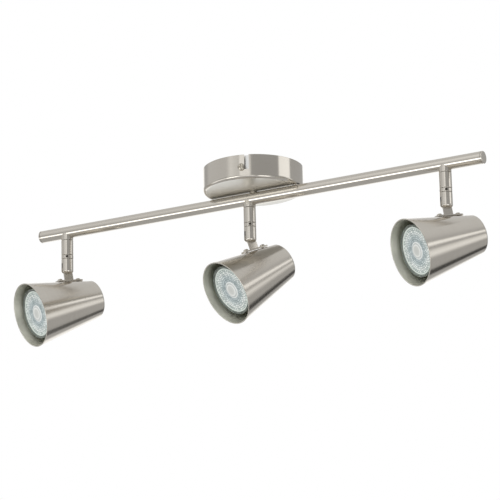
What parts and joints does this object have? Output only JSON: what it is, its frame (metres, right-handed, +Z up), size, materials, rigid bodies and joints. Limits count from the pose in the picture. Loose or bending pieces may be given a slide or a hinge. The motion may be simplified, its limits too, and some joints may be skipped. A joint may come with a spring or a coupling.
{
  "type": "ceiling spot bar",
  "caption": "Ceiling spotlight bar: round canopy, straight tube beneath it, and conical metal spot heads on short arms that swivel and tilt.",
  "frame": {"origin": "centre of the canopy on the ceiling plane, which is the top face of the mounting bracket", "axes": "+X along the tube, +Z up to the ceiling, -Y to the side that the shades face at rest"},
  "size_m": [0.5193, 0.1064, 0.159],
  "materials": {
    "satin_nickel": "brushed, satin nickel plated",
    "zinc_steel": "zinc plated",
    "nickel_screw": "nickel plated",
    "brass": "turned",
    "white_moulding": "moulded",
    "ceramic": "white steatite",
    "lamp_shell": "clear pressed glass",
    "lamp_lens": "clear lens with small facets",
    "lamp_pin": "turned"
  },
  "bodies": {
    "bar": {"canopy": "satin_nickel", "mounting_bracket": "zinc_steel", "canopy_screw_front": "nickel_screw", "canopy_screw_rear": "nickel_screw", "terminal_block": "white_moulding", "earth_screw": "brass", "centre_nipple": "zinc_steel", "nipple_nut": "zinc_steel", "bar_tube": "satin_nickel", "end_cap_left": "satin_nickel", "end_cap_right": "satin_nickel", "saddle_collar_left": "satin_nickel", "upper_sleeve_left": "satin_nickel", "swivel_core_left": "satin_nickel", "saddle_collar_centre": "satin_nickel", "upper_sleeve_centre": "satin_nickel", "swivel_core_centre": "satin_nickel", "saddle_collar_right": "satin_nickel", "upper_sleeve_right": "satin_nickel", "swivel_core_right": "satin_nickel"},
    "arm_left": {"clevis_left": "satin_nickel", "pivot_pin_left": "nickel_screw"},
    "spot_left": {"tongue_bracket_left": "satin_nickel", "bracket_screw_front_left": "nickel_screw", "bracket_screw_rear_left": "nickel_screw", "shade_left": "satin_nickel", "holder_bracket_left": "zinc_steel", "lamp_holder_left": "ceramic"},
    "lamp_left": {"lamp_body_left": "lamp_shell", "lamp_lens_left": "lamp_lens", "lamp_pin_a_left": "lamp_pin", "lamp_pin_b_left": "lamp_pin"},
    "arm_centre": {"clevis_centre": "satin_nickel", "pivot_pin_centre": "nickel_screw"},
    "spot_centre": {"tongue_bracket_centre": "satin_nickel", "bracket_screw_front_centre": "nickel_screw", "bracket_screw_rear_centre": "nickel_screw", "shade_centre": "satin_nickel", "holder_bracket_centre": "zinc_steel", "lamp_holder_centre": "ceramic"},
    "lamp_centre": {"lamp_body_centre": "lamp_shell", "lamp_lens_centre": "lamp_lens", "lamp_pin_a_centre": "lamp_pin", "lamp_pin_b_centre": "lamp_pin"},
    "arm_right": {"clevis_right": "satin_nickel", "pivot_pin_right": "nickel_screw"},
    "spot_right": {"tongue_bracket_right": "satin_nickel", "bracket_screw_front_right": "nickel_screw", "bracket_screw_rear_right": "nickel_screw", "shade_right": "satin_nickel", "holder_bracket_right": "zinc_steel", "lamp_holder_right": "ceramic"},
    "lamp_right": {"lamp_body_right": "lamp_shell", "lamp_lens_right": "lamp_lens", "lamp_pin_a_right": "lamp_pin", "lamp_pin_b_right": "lamp_pin"}
  },
  "joints": [
    {"name": "swivel_left", "type": "hinge", "parent": "bar", "child": "arm_left", "pos_m": [-0.2185, 0, -0.07], "axis": [0, 0, 1], "range_deg": [-170, 170]},
    {"name": "tilt_left", "type": "hinge", "parent": "arm_left", "child": "spot_left", "pos_m": [-0.2185, 0, -0.07], "axis": [0.848, -0.5299, 0], "range_deg": [-34.1, 70.9]},
    {"name": "lamp_twist_left", "type": "hinge", "parent": "spot_left", "child": "lamp_left", "pos_m": [-0.21217, 0.01013, -0.10449], "axis": [-0.5007, -0.8014, -0.3272], "range_deg": [0, 28]},
    {"name": "swivel_centre", "type": "hinge", "parent": "bar", "child": "arm_centre", "pos_m": [-0.0048, 0, -0.07], "axis": [0, 0, 1], "range_deg": [-170, 170]},
    {"name": "tilt_centre", "type": "hinge", "parent": "arm_centre", "child": "spot_centre", "pos_m": [-0.0048, 0, -0.07], "axis": [0.8616, -0.5075, 0], "range_deg": [-46.4, 58.6]},
    {"name": "lamp_twist_centre", "type": "hinge", "parent": "spot_centre", "child": "lamp_centre", "pos_m": [0.00485, 0.01639, -0.10115], "axis": [-0.4332, -0.7354, -0.521], "range_deg": [0, 28]},
    {"name": "swivel_right", "type": "hinge", "parent": "bar", "child": "arm_right", "pos_m": [0.2089, 0, -0.07], "axis": [0, 0, 1], "range_deg": [-170, 170]},
    {"name": "tilt_right", "type": "hinge", "parent": "arm_right", "child": "spot_right", "pos_m": [0.2089, 0, -0.07], "axis": [0.809, -0.5878, 0], "range_deg": [-34.3, 70.7]},
    {"name": "lamp_twist_right", "type": "hinge", "parent": "spot_right", "child": "lamp_right", "pos_m": [0.21599, 0.00976, -0.10445], "axis": [-0.5548, -0.7636, -0.3305], "range_deg": [0, 28]}
  ]
}
